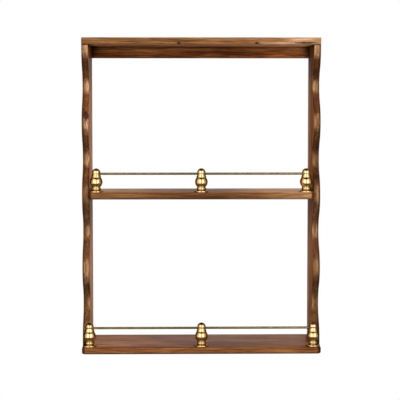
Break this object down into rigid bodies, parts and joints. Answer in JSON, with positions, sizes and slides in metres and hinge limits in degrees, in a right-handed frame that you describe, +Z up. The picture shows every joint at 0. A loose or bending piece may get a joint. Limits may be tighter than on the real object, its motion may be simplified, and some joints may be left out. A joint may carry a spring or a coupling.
{
  "type": "two-tier wall shelf",
  "caption": "Narrow two-tier wooden wall shelf with scalloped side panels, brass gallery rails on turned posts, and keyhole plates in the back rail.",
  "frame": {"origin": "midway between the entry holes of the two hanger plates, in the wall plane", "axes": "+X to the right seen from the front, +Y into the wall, +Z up"},
  "size_m": [0.33, 0.1, 0.4355],
  "materials": {
    "stained_wood": "satin",
    "polished_brass": "polished",
    "plain_steel": "satin"
  },
  "bodies": {
    "shelf": {"top_board": "stained_wood", "middle_shelf": "stained_wood", "bottom_board": "stained_wood", "back_rail": "stained_wood", "left_side_panel": "stained_wood", "right_side_panel": "stained_wood", "middle_left_post": "polished_brass", "middle_centre_post": "polished_brass", "middle_right_post": "polished_brass", "bottom_left_post": "polished_brass", "bottom_centre_post": "polished_brass", "bottom_right_post": "polished_brass", "top_board_pins": "plain_steel", "bottom_board_pins": "plain_steel", "middle_shelf_pins": "plain_steel", "back_rail_pins": "plain_steel", "middle_post_screws": "plain_steel", "bottom_post_screws": "plain_steel", "hanger_screws": "plain_steel", "left_hanger_plate": "plain_steel", "right_hanger_plate": "plain_steel"},
    "middle_rod": {"middle_gallery_rod": "polished_brass"},
    "bottom_rod": {"bottom_gallery_rod": "polished_brass"}
  },
  "joints": [
    {"name": "middle_rod_spin", "type": "hinge", "parent": "shelf", "child": "middle_rod", "pos_m": [0, -0.0797, -0.16772], "axis": [1, 0, 0], "continuous": true},
    {"name": "bottom_rod_spin", "type": "hinge", "parent": "shelf", "child": "bottom_rod", "pos_m": [0, -0.0897, -0.38072], "axis": [1, 0, 0], "continuous": true}
  ]
}
